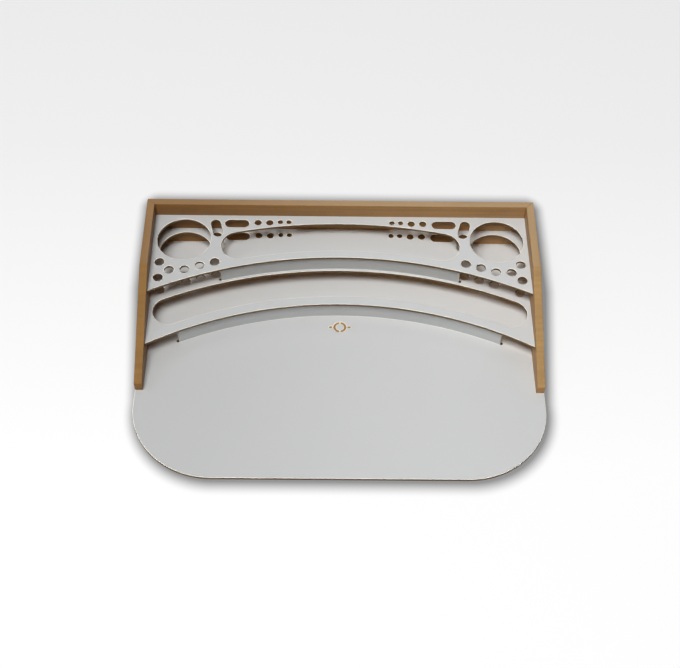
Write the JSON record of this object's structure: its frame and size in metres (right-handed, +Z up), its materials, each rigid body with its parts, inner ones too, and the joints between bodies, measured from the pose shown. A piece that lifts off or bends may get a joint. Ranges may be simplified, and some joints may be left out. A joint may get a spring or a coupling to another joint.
{
  "type": "hobby workstation organizer",
  "caption": "Desk-top work plate with a low wall on three sides and two curved white shelves with tray openings, jar holes, tool holes and slots.",
  "frame": {"origin": "middle of the underside of the base board", "axes": "+X to the user's right, +Y away from the user towards the back wall, +Z up"},
  "size_m": [0.4, 0.3, 0.06],
  "materials": {
    "fibreboard_wall": "8 mm fibreboard, sanded and sealed, satin",
    "fibreboard_core": "dense fibreboard core with darkened cut edges",
    "white_face": "white melamine, satin",
    "beech": "planed beech",
    "zinc_steel": "zinc-plated steel"
  },
  "bodies": {
    "root": {"base_board": "fibreboard_core", "base_facing": "white_face", "back_wall": "fibreboard_wall", "left_side_wall": "fibreboard_wall", "right_side_wall": "fibreboard_wall", "lower_shelf": "fibreboard_core", "lower_shelf_facing": "white_face", "upper_shelf": "fibreboard_core", "upper_shelf_facing": "white_face", "lower_front_strip": "fibreboard_core", "lower_strip_facing": "white_face", "upper_front_strip": "fibreboard_core", "upper_strip_facing": "white_face", "left_corner_key": "beech", "right_corner_key": "beech", "wall_screws": "zinc_steel"}
  },
  "joints": []
}
